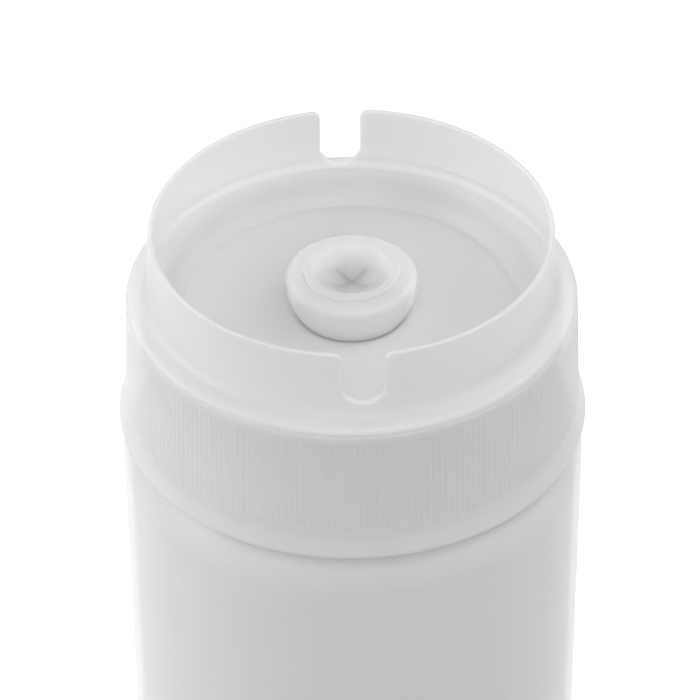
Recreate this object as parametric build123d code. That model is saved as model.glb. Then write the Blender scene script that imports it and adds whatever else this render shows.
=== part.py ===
from build123d import *
import os
from math import asin, cos, hypot, pi, radians, sin, sqrt, tan

# A two-ended squeeze bottle for sauce. A screw cap with a slit silicone valve dispenses at
# the top, inside a collar that the bottle also stands on upside down. A second screw cap
# closes the foot, and a hinged flip lid in it opens the refill mouth.
# Millimetres, +Z up. The origin is the centre of the foot's resting plane.
#
# Both necks and both caps are drawn in one neck frame: z = 0 is the plane of the neck's
# rim, and +z leads away from the bottle. The refill end is the same frame turned over.

# ---------------------------------------------------------------- bottle
BODY_R = 35.35                # outside of the squeezed wall; the caps are sized from it
BODY_WALL = 1.1
BODY_LENGTH = 158.8           # straight wall between the two shoulders
SHOULDER_RISE = 4.4           # body's edge up to the root of the neck
SHOULDER_INSET = 1.95         # flat part of the shoulder, inside the bottle's outside
SHOULDER_FALL = 0.4           # slope of its flat part
SHOULDER_ROUND = 2.2
BODY_EDGE_ROUND = 10.0
NECK_WALL = 1.6
NECK_HEIGHT = 21.1            # rim to the root of the shoulder
NECK_ROOT_ROUND = 0.8
NECK_RIM_ROUND = 0.4

# ---------------------------------------------------------------- screw thread
THREAD_PITCH = 4.2
THREAD_DEPTH = 1.2
THREAD_ROOT_WIDTH = 2.0
THREAD_CREST_WIDTH = 0.9
THREAD_ROOTING = 0.3          # how far a thread is sunk into the wall that carries it
NECK_THREAD_TURNS = 1.5
CAP_THREAD_TURNS = 1.25       # a cap comes free after this many turns
NECK_THREAD_TOP = 3.0         # rim down to the end of the neck's thread
THREAD_FLANK_GAP = 0.25       # between the flanks that pull the cap down

# ---------------------------------------------------------------- clearances
THREAD_GAP = 0.3              # radial, between a cap's bore and the neck's thread
PLUG_GAP = 0.3                # radial, between a plug and its bore
SEAL_GAP = 0.3                # radial, around a gasket
HINGE_GAP = 0.05              # radial, lid knuckle on its pin
LUG_GAP = 0.3                 # along the pin, knuckle to lug
LID_GAP = 0.2                 # knuckle to the end plate

# ---------------------------------------------------------------- cap skirts
CAP_SETBACK = 1.5             # top of the ribbed wall, inside the bottle's outside
LIP_STAND = 0.3               # lip of the open edge, outside the bottle's outside
SKIRT_WALL = 2.15             # at the top of the thread
SKIRT_CLEAR = 0.8             # open edge above the root of the bottle's shoulder
SKIRT_DRAFT = 2.3             # degrees, outward towards the open edge
SKIRT_LEAD = 8.0              # height of the bore's taper towards the open edge
LEDGE_DROP = 1.7              # cap's shoulder down to the ledge round the ribbed wall
LEDGE_STEP = 0.2
LEDGE_ROUND = 0.12
LIP_HEIGHT = 0.7
LIP_ROUND = 0.3
LIP_WALL = 1.9                # at the open edge
LIP_SWEEP = 3.0               # height of the wall's soft turn out to the lip
LIP_SWEEP_ROUND = 6.0
RIB_COUNT = 230
RIB_DEPTH = 0.09
RIB_BAND_TOP = 1.3            # plain band between the ledge and the ribs
RIB_BAND_FOOT = 4.6           # plain band between the ribs and the open edge
PLATE = 1.8                   # flat parts of both caps
SEAL_THICKNESS = 1.2

# ---------------------------------------------------------------- dispensing cap
COLLAR_SETBACK = 3.7         # rim of the standing collar, inside the ribbed wall's top
COLLAR_FLARE = 0.45           # outward, from the rim down to the cap's shoulder
COLLAR_WALL = 0.8
COLLAR_HEIGHT = 10.6          # above the cap's shoulder
COLLAR_BASE_ROUND = 1.8
COLLAR_RIM_ROUND = 0.3
CAP_SHOULDER_FALL = 0.9       # slope of the shoulder, from the collar out to its edge
CAP_SHOULDER_ROUND = 1.2
CUP_DEPTH = 15.15             # collar rim down to the floor
CUP_WALL = 1.1                # at the floor, inside the neck's bore
CUP_TAPER = 2.1               # its floor is this much smaller than its widest place
CUP_ROUND = 0.5
CUP_STEP_ROUND = 5.0          # where the collar's bore starts to draw in to the cup
FLOOR = 1.6
NOTCH_WIDTH = 6.2
FRONT_NOTCH_SILL = 2.0        # cap's shoulder up to the bottom of the vent notch
BACK_NOTCH_SILL = 0.8
NOTCH_BOTTOM_ROUND = 2.8
NOTCH_MOUTH_ROUND = 1.3
NOTCH_TURN = 3.1              # degrees about +Z, from the Y axis

# ---------------------------------------------------------------- silicone valve
VALVE_R = 9.9                 # ball-shaped head at its widest
VALVE_CENTRE = 5.55           # floor up to the ball's centre
VALVE_TOP_RISE = 1.1          # centre up to the edge of the flattened top
VALVE_TOP_ROUND = 1.1
VALVE_RING_INSET = 2.6        # widest part in to the raised ring round the dish
VALVE_RING_WIDTH = 1.4
VALVE_RING_HEIGHT = 0.6       # above the valley outside it
VALVE_RING_RISE = 0.75        # edge of the flattened top up to the ring's top
VALVE_RING_ROUND = 0.35
VALVE_DISH = 2.3              # ring's top down to the middle of the slit dish
VALVE_DISH_WALL = 0.8
VALVE_ARC_SHARE = 0.97        # of a tangent arc that stops just short of its full sweep
VALVE_WALL = 1.7
VALVE_FLANGE_R = 11.6
VALVE_FLANGE = 1.4
VALVE_SLIT = 6.5              # length of each of the two crossed slits
VALVE_SLIT_WIDTH = 0.02
VALVE_STEM_GAP = 0.05         # radial, soft stem in the floor's hole
SOCKET_WALL = 1.4             # ring under the floor that holds valve and retainer
RETAINER = 1.8
RETAINER_WIDTH = 3.6
RETAINER_HOLD = 0.6           # bead under the retainer
RETAINER_HOLD_REACH = 0.5

# ---------------------------------------------------------------- refill cap
FOOT_RING_HEIGHT = 4.0
FOOT_RING_WALL = 3.4
FOOT_ROUND = 2.0
CENTRING_DEPTH = 2.6
CENTRING_WALL = 1.3
THUMB_NOTCH_WIDTH = 18.0

# ---------------------------------------------------------------- flip lid and its hinge
LID_SETBACK = 5.6             # lid's edge inside the foot ring
LID_LAP = 5.6                 # lid over the edge of the refill mouth
LID_SEAL_THICKNESS = 0.6
LID_SEAL_WIDTH = 2.6
LID_PLATE = 2.2
LID_EDGE_ROUND = 0.5
LID_PLUG_HEIGHT = 3.4         # above the lid's plate
LID_PLUG_WALL = 1.3
LID_PLUG_TAPER = 0.5
LID_TAB_WIDTH = 13.0
LID_TAB_GAP = 1.6             # tip of the thumb tab to the foot ring's inside
HINGE_SETBACK = 3.2           # hinge axis inside the foot ring
HINGE_PIN_R = 0.8
HINGE_WALL = 0.6
KNUCKLE_LENGTH = 13.2
LUG_LENGTH = 4.0

# ---------------------------------------------------------------- worked out
CAP_R = BODY_R - CAP_SETBACK
LIP_R = BODY_R + LIP_STAND
SKIRT_BORE_R = CAP_R - SKIRT_WALL
THREAD_R = SKIRT_BORE_R - THREAD_GAP
NECK_R = THREAD_R - THREAD_DEPTH
NECK_BORE_R = NECK_R - NECK_WALL
PLUG_R = NECK_BORE_R - PLUG_GAP
SEAL_IN_R = NECK_BORE_R + SEAL_GAP
PLATE_UNDER = SEAL_THICKNESS                      # neck frame, as are the next ones
END_FACE = PLATE_UNDER + PLATE
LEDGE = END_FACE - LEDGE_DROP
SKIRT_FOOT = -NECK_HEIGHT + SKIRT_CLEAR
RIB_TOP = LEDGE - RIB_BAND_TOP
RIB_FOOT = SKIRT_FOOT + RIB_BAND_FOOT
RIM = END_FACE + COLLAR_HEIGHT
CUP_FLOOR = RIM - CUP_DEPTH
FLOOR_UNDER = CUP_FLOOR - FLOOR
FOOT = END_FACE + FOOT_RING_HEIGHT
BOTTLE_LENGTH = BODY_LENGTH + 2 * (SHOULDER_RISE + NECK_HEIGHT)
REFILL_RIM_Z = FOOT                               # neck's rim above the resting plane
TOP_RIM_Z = REFILL_RIM_Z + BOTTLE_LENGTH
HEIGHT = TOP_RIM_Z + RIM
COLLAR_R = CAP_R - COLLAR_SETBACK
COLLAR_IN_R = COLLAR_R - COLLAR_WALL
CUP_R = PLUG_R - CUP_WALL - CUP_TAPER              # of its floor
SHOULDER_EDGE_R = CAP_R - LEDGE_STEP              # of a cap's end, inside the ledge
SOCKET_R = VALVE_FLANGE_R + SOCKET_WALL
STEM_R = sqrt(VALVE_R ** 2 - VALVE_CENTRE ** 2)   # where the ball meets the floor
FOOT_IN_R = SHOULDER_EDGE_R - FOOT_RING_WALL
LID_R = FOOT_IN_R - LID_SETBACK
MOUTH_R = LID_R - LID_LAP
LID_TAB_REACH = FOOT_IN_R - LID_TAB_GAP
HINGE_Y = FOOT_IN_R - HINGE_SETBACK
HINGE_R = HINGE_PIN_R + HINGE_GAP + HINGE_WALL
HINGE_AXIS = END_FACE + LID_GAP + HINGE_R         # neck frame
LID_INNER_FACE = END_FACE + LID_SEAL_THICKNESS
LID_OUTER_FACE = LID_INNER_FACE + LID_PLATE

TOP_END = Pos(0, 0, TOP_RIM_Z)
REFILL_END = Pos(0, 0, REFILL_RIM_Z) * Rot(180, 0, 0)
BIG = 4 * BODY_R
TINY = 1e-6


# ---------------------------------------------------------------- helpers
def outline(corners):
    """Closed face in the X-Z plane from (x, z, rounding) corners.

    Where two roundings would overrun the side between them, both shrink to fit it."""
    count = len(corners)
    points = [Vector(x, 0, z) for x, z, _ in corners]
    sides = [points[(i + 1) % count] - points[i] for i in range(count)]
    half_turns = [radians(sides[i].get_angle(sides[i - 1] * -1)) / 2 for i in range(count)]
    reaches = [corners[i][2] / tan(half_turns[i]) for i in range(count)]
    fits = [min(1, sides[i].length / max(reaches[i] + reaches[(i + 1) % count], TINY))
            for i in range(count)]
    edges = []
    ends = []
    for i, half_turn in enumerate(half_turns):
        reach = reaches[i] * min(fits[i - 1], fits[i])
        back = sides[i - 1].normalized() * -1
        ahead = sides[i].normalized()
        start, end = points[i] + back * reach, points[i] + ahead * reach
        ends.append((start, end))
        if reach > 0:
            rounding = reach * tan(half_turn)
            apex = points[i] + (back + ahead).normalized() * (rounding / sin(half_turn) - rounding)
            edges.append(ThreePointArc(start, apex, end))
    for i, (_, end) in enumerate(ends):
        following, _ = ends[(i + 1) % count]
        if (following - end).length > TINY:
            edges.append(Line(end, following))
    return make_face(edges)


def turned(corners):
    """Solid of revolution about Z of (radius, z, rounding) corners."""
    return revolve(outline(corners), Axis.Z)


def washer(inner_r, outer_r, low, high, rounding=0.0):
    """Flat ring between two heights."""
    return turned([(inner_r, low, rounding), (outer_r, low, rounding),
                   (outer_r, high, rounding), (inner_r, high, rounding)])


def block(x_size, y_low, y_high, z_low, z_high):
    """Box centred on X, between stated Y and Z planes."""
    box = Box(x_size, y_high - y_low, z_high - z_low)
    return Pos(0, (y_low + y_high) / 2, (z_low + z_high) / 2) * box


def thread(wall_r, outward, turns, first_turn, low):
    """Trapezoid ridge that climbs one pitch a turn on a wall of radius wall_r."""
    side = 1 if outward else -1
    root = wall_r - side * THREAD_ROOTING
    crest = wall_r + side * THREAD_DEPTH
    flare = (THREAD_ROOT_WIDTH - THREAD_CREST_WIDTH) / 2 / THREAD_DEPTH * THREAD_ROOTING
    half_root = THREAD_ROOT_WIDTH / 2 + flare
    half_crest = THREAD_CREST_WIDTH / 2
    path = Helix(THREAD_PITCH, THREAD_PITCH * turns, wall_r)
    section = make_face(Polyline((root, 0, -half_root), (crest, 0, -half_crest),
                                 (crest, 0, half_crest), (root, 0, half_root), close=True))
    ridge = sweep(section, path=path, is_frenet=True)
    return Pos(0, 0, low) * Rot(0, 0, 360 * first_turn) * ridge


def neck_thread():
    """The neck's thread, outside."""
    low = -NECK_THREAD_TOP - THREAD_PITCH * NECK_THREAD_TURNS
    return thread(NECK_R, True, NECK_THREAD_TURNS, 0, low)


def cap_thread():
    """The cap's thread, inside, hooked under the neck's."""
    same_radius_width = (THREAD_ROOT_WIDTH + THREAD_CREST_WIDTH) / 2
    slack = THREAD_GAP / THREAD_DEPTH * (THREAD_ROOT_WIDTH - THREAD_CREST_WIDTH) / 2
    drop = same_radius_width - slack + THREAD_FLANK_GAP
    start = NECK_THREAD_TURNS - CAP_THREAD_TURNS
    neck_low = -NECK_THREAD_TOP - THREAD_PITCH * NECK_THREAD_TURNS
    return thread(SKIRT_BORE_R, False, CAP_THREAD_TURNS, start,
                  neck_low + THREAD_PITCH * start - drop)


def wall_radius(height):
    """Outside of a cap's drafted wall at a height in the neck frame."""
    return CAP_R + (LEDGE - height) * tan(radians(SKIRT_DRAFT))


def ribs():
    """Band of fine upright ribs round a cap's wall, crest to crest in one ring."""
    rings = []
    for height in (RIB_FOOT, RIB_TOP):
        crest = wall_radius(height)
        ring = []
        for step in range(2 * RIB_COUNT):
            r = crest if step % 2 else crest - RIB_DEPTH
            angle = pi * step / RIB_COUNT
            ring.append((r * cos(angle), r * sin(angle), height))
        rings.append(Polyline(*ring, close=True).wire())
    band = Solid.make_loft(rings, ruled=True)
    return band - Pos(0, 0, (RIB_FOOT + RIB_TOP) / 2) * Cylinder(
        CAP_R - 3 * RIB_DEPTH, 2 * (RIB_TOP - RIB_FOOT))


def ribbed_skirt():
    """What both caps share below their ledge: ribbed wall, lip, bore and thread."""
    foot_of_wall = SKIRT_FOOT + LIP_HEIGHT + LIP_SWEEP
    wall = turned([(CAP_R, LEDGE, LEDGE_ROUND),
                   (wall_radius(RIB_TOP), RIB_TOP, 0),
                   (wall_radius(RIB_TOP) - RIB_DEPTH, RIB_TOP, 0),
                   (wall_radius(RIB_FOOT) - RIB_DEPTH, RIB_FOOT, 0),
                   (wall_radius(RIB_FOOT), RIB_FOOT, 0),
                   (wall_radius(foot_of_wall), foot_of_wall, LIP_SWEEP_ROUND),
                   (LIP_R, SKIRT_FOOT + LIP_HEIGHT, LIP_ROUND),
                   (LIP_R, SKIRT_FOOT, LIP_ROUND),
                   (LIP_R - LIP_WALL, SKIRT_FOOT, LIP_ROUND),
                   (SKIRT_BORE_R, SKIRT_FOOT + SKIRT_LEAD, 0),
                   (SKIRT_BORE_R, LEDGE, 0)])
    return wall + cap_thread() + ribs()


# ---------------------------------------------------------------- pieces
def bottle_body():
    """Blown bottle with the same threaded neck at both ends."""
    shoulder = -NECK_HEIGHT
    wall_top = shoulder - SHOULDER_RISE
    middle = -BOTTLE_LENGTH / 2
    inner_r = BODY_R - BODY_WALL
    flat_r = BODY_R - SHOULDER_INSET
    flat_edge = shoulder - SHOULDER_FALL
    outside = [(NECK_R, 0, NECK_RIM_ROUND),
               (NECK_R, shoulder, NECK_ROOT_ROUND),
               (flat_r, flat_edge, SHOULDER_ROUND),
               (BODY_R, wall_top, BODY_EDGE_ROUND)]
    inside = [(NECK_BORE_R, 0, NECK_RIM_ROUND),
              (NECK_BORE_R, shoulder - BODY_WALL, NECK_ROOT_ROUND),
              (flat_r - BODY_WALL / 2, flat_edge - BODY_WALL, SHOULDER_ROUND),
              (inner_r, wall_top - BODY_WALL / 2, BODY_EDGE_ROUND)]
    half = outside + [(BODY_R, middle, 0), (inner_r, middle, 0)] + inside[::-1]
    top = turned(half) + neck_thread()
    return TOP_END * top + REFILL_END * top


def notch(sill, ahead):
    """Cutter for one vent notch, through the collar's +Y side (ahead = 1) or -Y side (-1)."""
    half = NOTCH_WIDTH / 2
    side = half + 2 * NOTCH_MOUTH_ROUND
    above = RIM + NOTCH_WIDTH
    low = END_FACE + sill
    face = outline([(-side, above, 0), (-side, RIM, 0),
                    (-half, RIM, NOTCH_MOUTH_ROUND),
                    (-half, low, NOTCH_BOTTOM_ROUND),
                    (half, low, NOTCH_BOTTOM_ROUND),
                    (half, RIM, NOTCH_MOUTH_ROUND),
                    (side, RIM, 0), (side, above, 0)])
    return Rot(0, 0, NOTCH_TURN) * extrude(face, amount=BIG, dir=(0, ahead, 0))


def rim_edges(cap):
    """Edges that run along the collar's rim and down round both notches."""
    found = []
    lowest = END_FACE + min(FRONT_NOTCH_SILL, BACK_NOTCH_SILL) / 2
    for edge in cap.edges():
        start, end = edge @ 0, edge @ 1
        across = abs(hypot(start.X, start.Y) - hypot(end.X, end.Y))
        if min(start.Z, end.Z) > lowest and across < COLLAR_WALL / 2:
            found.append(edge)
    return found


def dispensing_cap():
    """Ribbed cap with the standing collar, the cup inside it and the valve's socket."""
    socket_foot = FLOOR_UNDER - VALVE_FLANGE - RETAINER - RETAINER_HOLD
    hole_r = STEM_R + VALVE_STEM_GAP
    outside = [(COLLAR_IN_R, RIM, 0),
               (COLLAR_R, RIM, 0),
               (COLLAR_R + COLLAR_FLARE, END_FACE, COLLAR_BASE_ROUND),
               (SHOULDER_EDGE_R, END_FACE - CAP_SHOULDER_FALL, CAP_SHOULDER_ROUND),
               (SHOULDER_EDGE_R, LEDGE, 0)]
    under = [(SKIRT_BORE_R, LEDGE, 0),
             (SKIRT_BORE_R, PLATE_UNDER, 0),
             (PLUG_R, PLATE_UNDER, 0),
             (PLUG_R - CUP_TAPER, FLOOR_UNDER, CUP_ROUND),
             (SOCKET_R, FLOOR_UNDER, 0),
             (SOCKET_R, socket_foot, 0),
             (VALVE_FLANGE_R - RETAINER_HOLD_REACH, socket_foot, 0),
             (VALVE_FLANGE_R, socket_foot + RETAINER_HOLD, 0),
             (VALVE_FLANGE_R, FLOOR_UNDER, 0),
             (hole_r, FLOOR_UNDER, 0)]
    cup = [(hole_r, CUP_FLOOR, 0),
           (CUP_R, CUP_FLOOR, CUP_ROUND),
           (COLLAR_IN_R, END_FACE + BACK_NOTCH_SILL, CUP_STEP_ROUND)]
    head = turned(outside + under + cup) - notch(FRONT_NOTCH_SILL, -1) - notch(BACK_NOTCH_SILL, 1)
    head = fillet(rim_edges(head), COLLAR_RIM_ROUND)
    return TOP_END * (head + SKIRT)


def silicone_valve():
    """One soft piece: flange under the floor, stem through it, ball-shaped head above."""
    flange_foot = FLOOR_UNDER - VALVE_FLANGE
    ball_corner = CUP_FLOOR + VALVE_CENTRE - VALVE_R * tan(asin(VALVE_CENTRE / VALVE_R) / 2)
    top_edge = CUP_FLOOR + VALVE_CENTRE + VALVE_TOP_RISE
    ring_r = VALVE_R - VALVE_RING_INSET
    ring_top = top_edge + VALVE_RING_RISE
    valley = ring_top - VALVE_RING_HEIGHT
    dish_r = ring_r - VALVE_RING_WIDTH
    dish = ring_top - VALVE_DISH
    dish_round = (dish_r ** 2 + VALVE_DISH ** 2) / (2 * VALVE_DISH)
    dish_corner_r = dish_round * tan(asin(dish_r / dish_round) / 2)
    inner_r = STEM_R - VALVE_WALL
    head = [(STEM_R, FLOOR_UNDER, 0),
            (STEM_R, CUP_FLOOR, 0),
            (VALVE_R, ball_corner, VALVE_ARC_SHARE * VALVE_R),
            (VALVE_R, top_edge, VALVE_TOP_ROUND),
            (ring_r, valley, 0),
            (ring_r, ring_top, VALVE_RING_ROUND),
            (dish_r, ring_top, VALVE_RING_ROUND),
            (dish_corner_r, dish, VALVE_ARC_SHARE * dish_round),
            (0, dish, 0),
            (0, dish - VALVE_DISH_WALL, 0),
            (dish_corner_r, dish - VALVE_DISH_WALL, VALVE_WALL),
            (inner_r, valley - VALVE_WALL, VALVE_WALL),
            (inner_r, flange_foot, 0)]
    flange = [(VALVE_FLANGE_R, flange_foot, 0), (VALVE_FLANGE_R, FLOOR_UNDER, 0)]
    valve = turned(head + flange)
    slit = Pos(0, 0, dish) * Box(VALVE_SLIT, VALVE_SLIT_WIDTH, 2 * VALVE_DISH_WALL + VALVE_DISH)
    crossed = slit + Rot(0, 0, 90) * slit
    return TOP_END * (valve - Rot(0, 0, 45) * crossed)


def valve_retainer():
    """Snap ring that presses the valve's flange against the underside of the floor."""
    high = FLOOR_UNDER - VALVE_FLANGE
    return TOP_END * washer(VALVE_FLANGE_R - RETAINER_WIDTH, VALVE_FLANGE_R,
                            high - RETAINER, high)


def neck_seal(end):
    """Flat gasket between a neck's rim and the plate of its cap."""
    return end * washer(SEAL_IN_R, THREAD_R, 0, SEAL_THICKNESS)


def hinge_lugs():
    """The two ears that carry the lid's pin."""
    start = KNUCKLE_LENGTH / 2 + LUG_GAP
    ear = Cylinder(HINGE_R, LUG_LENGTH, rotation=(0, 90, 0))
    ear += Pos(0, 0, -(HINGE_AXIS - END_FACE) / 2) * Box(
        LUG_LENGTH, 2 * HINGE_R, HINGE_AXIS - END_FACE)
    ear -= Cylinder(HINGE_PIN_R, 2 * LUG_LENGTH, rotation=(0, 90, 0))
    place = start + LUG_LENGTH / 2
    return Pos(-place, -HINGE_Y, HINGE_AXIS) * ear + Pos(place, -HINGE_Y, HINGE_AXIS) * ear


def refill_cap():
    """Ribbed cap with the foot ring, the refill mouth and the lid's hinge ears."""
    centring_r = PLUG_R - CENTRING_WALL
    centring_foot = PLATE_UNDER - CENTRING_DEPTH
    head = turned([(FOOT_IN_R, END_FACE, 0),
                   (FOOT_IN_R, FOOT, LEDGE_STEP),
                   (SHOULDER_EDGE_R, FOOT, FOOT_ROUND),
                   (SHOULDER_EDGE_R, LEDGE, 0),
                   (SKIRT_BORE_R, LEDGE, 0),
                   (SKIRT_BORE_R, PLATE_UNDER, 0),
                   (PLUG_R, PLATE_UNDER, 0),
                   (PLUG_R, centring_foot, CENTRING_WALL / 3),
                   (centring_r, centring_foot, CENTRING_WALL / 3),
                   (centring_r, PLATE_UNDER, 0),
                   (MOUTH_R, PLATE_UNDER, 0),
                   (MOUTH_R, END_FACE, 0)])
    thumb = block(THUMB_NOTCH_WIDTH, FOOT_IN_R - FOOT_RING_WALL, BIG, END_FACE, FOOT + BIG)
    return REFILL_END * (head + hinge_lugs() - thumb + SKIRT)


def hinge_pin():
    """Straight pin, pressed into the ears, that the lid turns on."""
    length = KNUCKLE_LENGTH + 2 * (LUG_GAP + LUG_LENGTH)
    pin = Cylinder(HINGE_PIN_R, length, rotation=(0, 90, 0))
    return REFILL_END * Pos(0, -HINGE_Y, HINGE_AXIS) * pin


def flip_lid():
    """Lid plate with its plug, thumb tab and hinge knuckle."""
    plug_r = MOUTH_R - PLUG_GAP
    plug_in_r = plug_r - LID_PLUG_WALL
    plug_top = LID_INNER_FACE - LID_PLUG_HEIGHT
    lid = turned([(0, LID_OUTER_FACE, 0),
                  (LID_R, LID_OUTER_FACE, LID_EDGE_ROUND),
                  (LID_R, LID_INNER_FACE, LID_EDGE_ROUND),
                  (plug_r, LID_INNER_FACE, 0),
                  (plug_r - LID_PLUG_TAPER, plug_top, LID_PLUG_WALL / 4),
                  (plug_in_r - LID_PLUG_TAPER, plug_top, LID_PLUG_WALL / 4),
                  (plug_in_r, LID_INNER_FACE, 0),
                  (0, LID_INNER_FACE, 0)])
    tab = block(LID_TAB_WIDTH, 0, LID_TAB_REACH, LID_INNER_FACE, LID_OUTER_FACE)
    tab = fillet(tab.faces().sort_by(Axis.Y)[-1].edges().filter_by(Axis.Z), LID_TAB_WIDTH / 4)
    lid += tab - Cylinder(plug_r, BIG)
    lid += block(KNUCKLE_LENGTH, -HINGE_Y, -plug_r, LID_INNER_FACE, LID_OUTER_FACE)
    axis = Pos(0, -HINGE_Y, HINGE_AXIS)
    lid += axis * Cylinder(HINGE_R, KNUCKLE_LENGTH, rotation=(0, 90, 0))
    lid -= axis * Cylinder(HINGE_PIN_R + HINGE_GAP, BIG, rotation=(0, 90, 0))
    return REFILL_END * lid


def lid_seal():
    """Flat gasket round the plug, between the lid and the end plate."""
    inner_r = MOUTH_R + SEAL_GAP
    return REFILL_END * washer(inner_r, inner_r + LID_SEAL_WIDTH, END_FACE, LID_INNER_FACE)


SKIRT = ribbed_skirt()

PIECES = {
    "bottle_body": bottle_body,
    "dispensing_cap": dispensing_cap,
    "silicone_valve": silicone_valve,
    "valve_retainer": valve_retainer,
    "dispensing_seal": lambda: neck_seal(TOP_END),
    "refill_cap": refill_cap,
    "refill_seal": lambda: neck_seal(REFILL_END),
    "hinge_pin": hinge_pin,
    "flip_lid": flip_lid,
    "lid_seal": lid_seal,
}

os.makedirs("parts", exist_ok=True)
for name, make in PIECES.items():
    solid = make()
    export_step(solid, f"parts/{name}.step")
    print(f"{name:16s} {solid.volume / 1000:8.2f} cm3")
print(f"height {HEIGHT:.2f}, top neck rim at {TOP_RIM_Z:.2f}, foot neck rim at {REFILL_RIM_Z:.2f}")
print(f"hinge axis at y {HINGE_Y:.2f}, z {REFILL_RIM_Z - HINGE_AXIS:.2f}")
print(f"cap rise {THREAD_PITCH * CAP_THREAD_TURNS:.3f}")
print(f"body radius {BODY_R:.2f}, cap {CAP_R:.2f}, neck {NECK_R:.2f}, collar {COLLAR_R:.2f}")
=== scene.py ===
# %% [markdown]
# # A two-ended sauce bottle, dressed in Blender
# The construction model brings every piece at its real size and in its real place. This
# lesson gives those pieces their finish: natural, unpigmented plastics that are milky rather
# than clear, a soft silicone valve, white gasket foam and a small steel pin.
# Everything is in metres, +Z up, with the origin under the middle of the foot ring.

# %% Load the frame
import math

import bpy
from mathutils import Matrix, Vector


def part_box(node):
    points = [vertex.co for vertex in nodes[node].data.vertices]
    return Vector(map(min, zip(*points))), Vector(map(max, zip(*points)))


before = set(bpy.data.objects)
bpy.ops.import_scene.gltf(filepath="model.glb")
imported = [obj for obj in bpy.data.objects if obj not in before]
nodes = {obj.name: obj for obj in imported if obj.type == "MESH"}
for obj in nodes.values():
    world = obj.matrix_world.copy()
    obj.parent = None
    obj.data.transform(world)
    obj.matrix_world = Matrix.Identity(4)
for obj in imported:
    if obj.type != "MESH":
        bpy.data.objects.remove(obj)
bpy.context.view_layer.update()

MM = 0.001
scene = bpy.context.scene
print("nodes:", ", ".join(sorted(nodes)))

# %% [markdown]
# ## Camera
# A long lens from well above the rim looks down into the collar, and the bottle runs out of
# the bottom of the picture. A camera can be aimed at a point by a Track To constraint, but
# that always levels it. Here its turns are given as angles from the rim's centre: how far
# the optical axis passes below it, a hair of pan and a little roll. That keeps the
# perspective exact and needs no lens shift.

# %% The camera
RIM_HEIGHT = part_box("dispensing_cap")[1].z
CAMERA_DISTANCE = 579.5 * MM
CAMERA_ELEVATION = 37.29    # all four turns are in degrees
AIM_BELOW_RIM = 1.796
CAMERA_PAN = 0.039
CAMERA_ROLL = -0.453
LENS = 201.5                # lens and sensor are in mm, as Blender shows them
SENSOR = 36.0


def make_camera():
    """Camera on the -Y side, looking down at the collar."""
    data = bpy.data.cameras.new("camera")
    data.lens = LENS
    data.sensor_width = SENSOR
    camera = bpy.data.objects.new("camera", data)
    scene.collection.objects.link(camera)
    elevation = math.radians(CAMERA_ELEVATION)
    away = Vector((0, -math.cos(elevation), math.sin(elevation)))
    place = Vector((0, 0, RIM_HEIGHT)) + away * CAMERA_DISTANCE
    pitch = math.radians(90 - CAMERA_ELEVATION - AIM_BELOW_RIM)
    turn = (Matrix.Rotation(math.radians(CAMERA_PAN), 4, "Z")
            @ Matrix.Rotation(pitch, 4, "X")
            @ Matrix.Rotation(math.radians(CAMERA_ROLL), 4, "Z"))
    camera.matrix_world = Matrix.Translation(place) @ turn
    scene.camera = camera
    return camera


camera = make_camera()
print("camera at", [round(value, 3) for value in camera.matrix_world.translation])

# %% [markdown]
# ## Node helpers
# Materials, the world and the shared effects are all node trees, so a few small helpers
# build them: one makes a node, one sets its inputs by the names that Blender shows, and one
# makes a Math node whose operands are numbers or the outputs of other nodes. A fourth tells
# camera, mirror and see-through rays from all others, for the world and the floor.

# %% Node helpers
def add_node(tree, kind, **settings):
    """New shader node, with properties such as operation set by name."""
    node = tree.nodes.new("ShaderNode" + kind)
    for name, value in settings.items():
        setattr(node, name, value)
    return node


def set_inputs(node, **values):
    """Sets inputs by their visible names, with _ for a space."""
    for name, value in values.items():
        node.inputs[name.replace("_", " ")].default_value = value


def calculate(tree, operation, *operands):
    """Output of a Math node. Each operand is a number or another node's output."""
    node = add_node(tree, "Math", operation=operation)
    for socket, operand in zip(node.inputs, operands):
        if isinstance(operand, float):
            socket.default_value = operand
        else:
            tree.links.new(operand, socket)
    return node.outputs[0]


def camera_like_ray(tree):
    """1 for camera, mirror and see-through rays, else 0."""
    path = add_node(tree, "LightPath").outputs
    seen_or_mirrored = calculate(tree, "MAXIMUM", path["Is Camera Ray"], path["Is Glossy Ray"])
    return calculate(tree, "MAXIMUM", seen_or_mirrored, path["Is Transmission Ray"])


print("helpers: add_node, set_inputs, calculate, camera_like_ray")

# %% [markdown]
# ## World
# The bottle stands in a white tent. A picture of a studio could light it, but then its
# brightest parts could not be moved or weakened one by one. So the world only gives an even
# fill, and soft boxes do the rest. To the camera and to reflections the world is plain white.

# %% The world
WHITE = (1.0, 1.0, 1.0, 1.0)
WORLD_FILL = 0.16


def make_world():
    """White to the camera, a softer fill to everything else."""
    world = bpy.data.worlds.new("white_tent")
    world.use_nodes = True
    tree = world.node_tree
    fill = tree.nodes["Background"]
    set_inputs(fill, Color=WHITE, Strength=WORLD_FILL)
    seen = add_node(tree, "Background")
    set_inputs(seen, Color=WHITE, Strength=1.0)
    mix = add_node(tree, "MixShader")
    tree.links.new(camera_like_ray(tree), mix.inputs[0])
    tree.links.new(fill.outputs[0], mix.inputs[1])
    tree.links.new(seen.outputs[0], mix.inputs[2])
    tree.links.new(mix.outputs[0], tree.nodes["World Output"].inputs["Surface"])
    scene.world = world


make_world()
print("world:", scene.world.name, "with a fill of", WORLD_FILL)

# %% [markdown]
# ## Floor
# A sheet of matt white paper. Paper alone comes out grey, and more light on it would bleach
# the bottle, so a little glow that only the camera and reflections see lifts it to white.
# The paper keeps the bottle's shadow. The bottle stands on the end that opens for
# filling, so the sheet is clear from below and that end can be looked at too.

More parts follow.
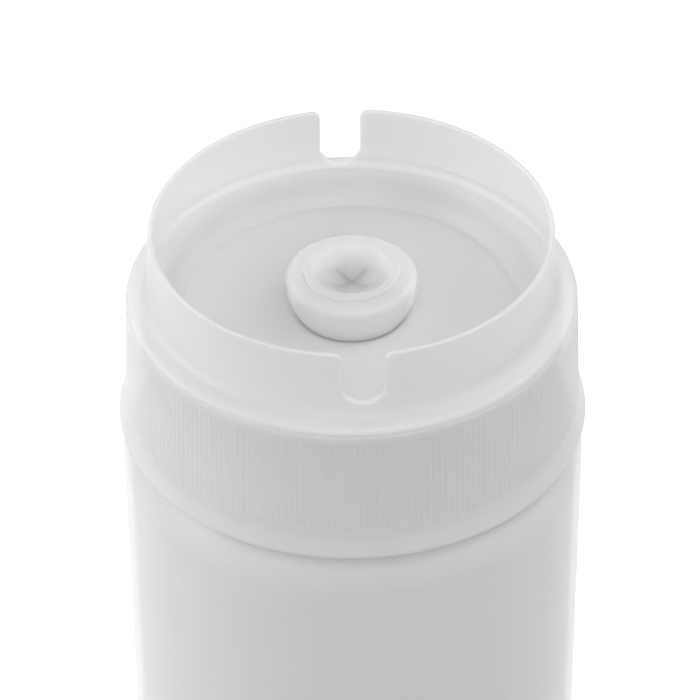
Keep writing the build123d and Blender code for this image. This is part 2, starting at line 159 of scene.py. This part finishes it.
# %% The floor
FLOOR_SIZE = 30.0
FLOOR_ALBEDO = 0.7
FLOOR_GLOW = 0.68


def floor_material():
    """Matt white paper that a little glow lifts to full white, clear from below."""
    material = bpy.data.materials.new("floor_paper")
    material.use_nodes = True
    tree = material.node_tree
    tree.nodes.clear()
    paper = add_node(tree, "BsdfDiffuse")
    set_inputs(paper, Color=(FLOOR_ALBEDO,) * 3 + (1,))
    glow = add_node(tree, "Emission")
    strength = calculate(tree, "MULTIPLY", camera_like_ray(tree), FLOOR_GLOW)
    tree.links.new(strength, glow.inputs["Strength"])
    add = add_node(tree, "AddShader")
    tree.links.new(paper.outputs[0], add.inputs[0])
    tree.links.new(glow.outputs[0], add.inputs[1])
    facing = add_node(tree, "NewGeometry")
    from_below = add_node(tree, "BsdfTransparent")
    mix = add_node(tree, "MixShader")
    tree.links.new(facing.outputs["Backfacing"], mix.inputs[0])
    tree.links.new(add.outputs[0], mix.inputs[1])
    tree.links.new(from_below.outputs[0], mix.inputs[2])
    out = add_node(tree, "OutputMaterial")
    tree.links.new(mix.outputs[0], out.inputs["Surface"])
    return material


def make_floor():
    """One large sheet at the height that the foot ring rests on."""
    half = FLOOR_SIZE / 2
    mesh = bpy.data.meshes.new("floor")
    mesh.from_pydata([(-half, -half, 0), (half, -half, 0), (half, half, 0), (-half, half, 0)],
                     [], [(0, 1, 2, 3)])
    mesh.materials.append(floor_material())
    floor = bpy.data.objects.new("floor", mesh)
    scene.collection.objects.link(floor)


make_floor()
print("floor:", FLOOR_SIZE, "m wide")

# %% [markdown]
# ## Lamps
# Six square soft boxes, all facing the cap. The strongest is on the left, the next high in
# front, then come high right, left back and right back, and the weakest is at the front
# right. So every outer wall is brightest at its left edge, darkest in the middle and a
# little lighter again at the right. Spot lamps would be quicker but draw hard shadows and
# small highlights, which milky plastic in a tent doesn't show. The lamps are slightly cool,
# as daylight tubes are.

# %% The lamps
LAMP_COLOUR = (0.98, 0.97, 1.0)
LAMPS = {
    # name: (place in metres, width in metres, watts)
    "left_bank": ((-0.85, -0.05, 0.50), 0.8, 3.8),
    "left_back": ((-0.65, 0.60, 0.60), 0.8, 1.8),
    "front_high": ((0.0, -0.55, 0.95), 0.6, 2.9),
    "right_front": ((0.65, -0.60, 0.50), 0.8, 1.0),
    "right_high": ((0.60, 0.0, 0.95), 0.6, 1.95),
    "right_back": ((0.60, 0.55, 0.70), 0.7, 1.55),
}


def make_lamp(name, place, width, watts):
    """Square soft box that faces the cap."""
    data = bpy.data.lights.new(name, "AREA")
    data.shape = "SQUARE"
    data.size = width
    data.energy = watts
    data.color = LAMP_COLOUR
    lamp = bpy.data.objects.new(name, data)
    lamp.location = place
    aim = Vector((0, 0, RIM_HEIGHT)) - lamp.location
    lamp.rotation_euler = aim.to_track_quat("-Z", "Y").to_euler()
    scene.collection.objects.link(lamp)


for name, (place, width, watts) in LAMPS.items():
    make_lamp(name, place, width, watts)
print("lamps:", ", ".join(LAMPS))

# %% [markdown]
# ## Shared effects
# An effect that several finishes use is a node group with named inputs, made once and
# placed in each material with its own values. Both groups here read Object coordinates, so
# the pattern stays on the piece when it moves.

# %% Group maker
FLOAT = "NodeSocketFloat"
COLOUR = "NodeSocketColor"


def make_group(name, inputs, outputs):
    """Empty shader group with its sockets, and its two end nodes."""
    tree = bpy.data.node_groups.new(name, "ShaderNodeTree")
    for label, kind, default in inputs:
        socket = tree.interface.new_socket(label, in_out="INPUT", socket_type=kind)
        socket.default_value = default
    for label, kind in outputs:
        tree.interface.new_socket(label, in_out="OUTPUT", socket_type=kind)
    return tree, tree.nodes.new("NodeGroupInput"), tree.nodes.new("NodeGroupOutput")


def place_group(tree, group, **values):
    """A group's node in a material, with its values set."""
    node = add_node(tree, "Group", node_tree=group)
    set_inputs(node, **values)
    return node


print("group makers: make_group, place_group")

# %% [markdown]
# ### Cloudiness
# Unpigmented plastic is not one even tone: thicker and thinner stretches of a moulding
# scatter a little more or less light, over a few centimetres on the bottle and caps and less
# on the small pieces. Painting that by hand would give each piece a map of its own, while
# one soft noise gives all of them the same character.

# %% Group: cloudiness
def make_cloud_group():
    """Base colour with darker drifts in it: Amount is the most that a drift takes away."""
    tree, given, result = make_group(
        "moulding_cloud",
        [("Colour", COLOUR, (0.8, 0.8, 0.8, 1)), ("Patch Scale", FLOAT, 30.0),
         ("Amount", FLOAT, 0.04)],
        [("Colour", COLOUR)])
    place = add_node(tree, "TexCoord")
    drift = add_node(tree, "TexNoise")
    set_inputs(drift, Detail=3.0, Roughness=0.45)
    tree.links.new(place.outputs["Object"], drift.inputs["Vector"])
    tree.links.new(given.outputs["Patch Scale"], drift.inputs["Scale"])
    loss = calculate(tree, "MULTIPLY", drift.outputs["Fac"], given.outputs["Amount"])
    kept = calculate(tree, "SUBTRACT", 1.0, loss)
    tint = add_node(tree, "VectorMath", operation="SCALE")
    tree.links.new(given.outputs["Colour"], tint.inputs[0])
    tree.links.new(kept, tint.inputs["Scale"])
    tree.links.new(tint.outputs[0], result.inputs["Colour"])
    return tree


cloud_group = make_cloud_group()
print("group:", cloud_group.name)

# %% [markdown]
# ### Satin grain
# An unpolished mould leaves a grain, lower than a hair is thick, which turns a mirror shine
# into satin. Most of that is plain roughness. A very low bump breaks the highlights' edges,
# and a broad, faint change of roughness keeps a large wall from looking sprayed.

# %% Group: satin grain
MIDDLE_OF_NOISE = 0.5


def make_grain_group():
    """Height and roughness of the satin grain of an unpolished mould."""
    tree, given, result = make_group(
        "mould_grain",
        [("Grain Scale", FLOAT, 900.0), ("Roughness", FLOAT, 0.4), ("Spread", FLOAT, 0.08)],
        [("Height", FLOAT), ("Roughness", FLOAT)])
    place = add_node(tree, "TexCoord")
    fine = add_node(tree, "TexNoise")
    set_inputs(fine, Detail=4.0, Roughness=0.6)
    tree.links.new(place.outputs["Object"], fine.inputs["Vector"])
    tree.links.new(given.outputs["Grain Scale"], fine.inputs["Scale"])
    broad = add_node(tree, "TexNoise")
    set_inputs(broad, Scale=60.0, Detail=2.0)
    tree.links.new(place.outputs["Object"], broad.inputs["Vector"])
    swing = calculate(tree, "SUBTRACT", broad.outputs["Fac"], MIDDLE_OF_NOISE)
    rough = calculate(tree, "MULTIPLY_ADD", swing, given.outputs["Spread"],
                      given.outputs["Roughness"])
    tree.links.new(fine.outputs["Fac"], result.inputs["Height"])
    tree.links.new(rough, result.inputs["Roughness"])
    return tree


grain_group = make_grain_group()
print("group:", grain_group.name)

# %% [markdown]
# ## Milky plastics
# Natural polyethylene and polypropylene let light in and scatter it, mostly forward, so edges
# glow and shadows fill. Subsurface scattering does that. A small share of the light also
# passes a wall unbent, which softens what lies behind the wall into view. It goes in as
# Alpha, because clear transmission would bend it and lose the light that bounces about in
# the cup. A wall has two faces, so Alpha counts on its near face only.

# %% Material maker
FORWARD_SCATTER = 0.8
MOULD_GRAIN_SCALE = 900.0


def let_light_through(tree, shader, clear):
    """See-through share, counted once for each wall: on its near face and not its far one."""
    facing = add_node(tree, "NewGeometry")
    solid = calculate(tree, "MULTIPLY_ADD", facing.outputs["Backfacing"],
                      clear - 1.0, 1.0 - clear)
    tree.links.new(solid, shader.inputs["Alpha"])


def milky_plastic(name, colour, patch_scale, patch_amount, roughness, grain_height,
                  depth, weight, clear, ior):
    """Satin, light-scattering plastic, silicone or foam.

    depth is how far light wanders inside, in metres, weight is the share of it that does,
    and clear is the share that passes straight through a wall."""
    material = bpy.data.materials.new(name)
    material.use_nodes = True
    tree = material.node_tree
    shader = tree.nodes["Principled BSDF"]
    cloud = place_group(tree, cloud_group, Colour=(*colour, 1), Patch_Scale=patch_scale,
                        Amount=patch_amount)
    grain = place_group(tree, grain_group, Grain_Scale=MOULD_GRAIN_SCALE, Roughness=roughness)
    bump = add_node(tree, "Bump")
    set_inputs(bump, Strength=1.0, Distance=grain_height)
    tree.links.new(cloud.outputs["Colour"], shader.inputs["Base Color"])
    tree.links.new(grain.outputs["Roughness"], shader.inputs["Roughness"])
    tree.links.new(grain.outputs["Height"], bump.inputs["Height"])
    tree.links.new(bump.outputs["Normal"], shader.inputs["Normal"])
    set_inputs(shader, IOR=ior, Subsurface_Weight=weight, Subsurface_Scale=depth,
               Subsurface_Radius=(1.0, 1.0, 1.0), Subsurface_Anisotropy=FORWARD_SCATTER)
    if clear:
        let_light_through(tree, shader, clear)
    return material


print("maker: milky_plastic")

# %% [markdown]
# ### Bottle and caps
# The bottle is blown polyethylene, thin, soft and a little bluer. The caps, the lid and the
# snap ring are moulded polypropylene, stiffer and more satin. Colour written under full
# scattering hardly shows in a thin wall, so the bottle keeps a quarter of plain surface
# colour, and that carries its blue. The broad change of roughness moves each value up and
# down a little. A finish that crosses about 0.27 on the way shows blotches once the render
# is denoised, so the bottle stays below that and the caps above it.

# %% Bottle and cap plastic
bottle_plastic = milky_plastic(
    "bottle_polyethylene", colour=(0.92, 0.915, 0.985), patch_scale=22.0, patch_amount=0.05,
    roughness=0.24, grain_height=0.01 * MM, depth=0.6 * MM, weight=0.75, clear=0.08, ior=1.51)
cap_plastic = milky_plastic(
    "cap_polypropylene", colour=(0.93, 0.925, 0.93), patch_scale=35.0, patch_amount=0.04,
    roughness=0.34, grain_height=0.01 * MM, depth=3.0 * MM, weight=1.0, clear=0.08, ior=1.49)
print("made:", bottle_plastic.name, cap_plastic.name)

# %% [markdown]
# ### Valve and gaskets
# The valve and the lid's gasket are silicone: smoother, clearer and deeper to light than the
# caps. It could be made as frosted glass, but silicone this thick glows rather than
# refracts, so it is the same maker with more depth. The caps' gaskets are closed-cell
# foam, dull, and let nothing through.

# %% Silicone and foam
valve_silicone = milky_plastic(
    "valve_silicone", colour=(0.89, 0.885, 0.89), patch_scale=90.0, patch_amount=0.04,
    roughness=0.22, grain_height=0.005 * MM, depth=5.0 * MM, weight=1.0, clear=0.18, ior=1.41)
seal_foam = milky_plastic(
    "gasket_foam", colour=(0.86, 0.86, 0.85), patch_scale=200.0, patch_amount=0.10,
    roughness=0.75, grain_height=0.05 * MM, depth=0.5 * MM, weight=1.0, clear=0.0, ior=1.45)
print("made:", valve_silicone.name, seal_foam.name)

# %% [markdown]
# ## Hinge pin
# A cut length of drawn stainless wire. Only its ends show, so a plain metal with a fine,
# uneven shine is enough, and the two shared groups give that with their values turned up.

# %% Pin steel
STEEL_COLOUR = (0.60, 0.60, 0.61)
STEEL_ROUGHNESS = 0.28
STEEL_PATCH_SCALE = 400.0
STEEL_PATCH_AMOUNT = 0.15
STEEL_GRAIN_SCALE = 3000.0


def pin_steel_material():
    """Drawn stainless wire."""
    material = bpy.data.materials.new("pin_stainless")
    material.use_nodes = True
    tree = material.node_tree
    shader = tree.nodes["Principled BSDF"]
    set_inputs(shader, Metallic=1.0)
    cloud = place_group(tree, cloud_group, Colour=(*STEEL_COLOUR, 1),
                        Patch_Scale=STEEL_PATCH_SCALE, Amount=STEEL_PATCH_AMOUNT)
    grain = place_group(tree, grain_group, Grain_Scale=STEEL_GRAIN_SCALE,
                        Roughness=STEEL_ROUGHNESS)
    tree.links.new(cloud.outputs["Colour"], shader.inputs["Base Color"])
    tree.links.new(grain.outputs["Roughness"], shader.inputs["Roughness"])
    return material


pin_steel = pin_steel_material()
print("made:", pin_steel.name)

# %% [markdown]
# ## Give each piece its finish
# The pieces already have their full shape: ribs, notches, thread and slit are cut in the
# construction model, where they have real sizes. So nothing is rebuilt here. Each
# piece keeps its own mesh and takes one material on every slot.

# %% Finishes
FINISH = {
    "bottle_body": bottle_plastic,
    "dispensing_cap": cap_plastic,
    "refill_cap": cap_plastic,
    "flip_lid": cap_plastic,
    "valve_retainer": cap_plastic,
    "silicone_valve": valve_silicone,
    "lid_seal": valve_silicone,
    "dispensing_seal": seal_foam,
    "refill_seal": seal_foam,
    "hinge_pin": pin_steel,
}


def finish_node(name, material):
    """Puts one material on every slot of a CAD node."""
    node = nodes[name]
    for slot in node.material_slots:
        slot.material = material
    if not node.material_slots:
        node.data.materials.append(material)


for name, material in FINISH.items():
    finish_node(name, material)
print("finished:", ", ".join(FINISH))

# %% [markdown]
# ## View
# The Standard view shows each colour as it is written, where the default one would grey the
# white plastic.

# %% View
scene.view_settings.view_transform = "Standard"
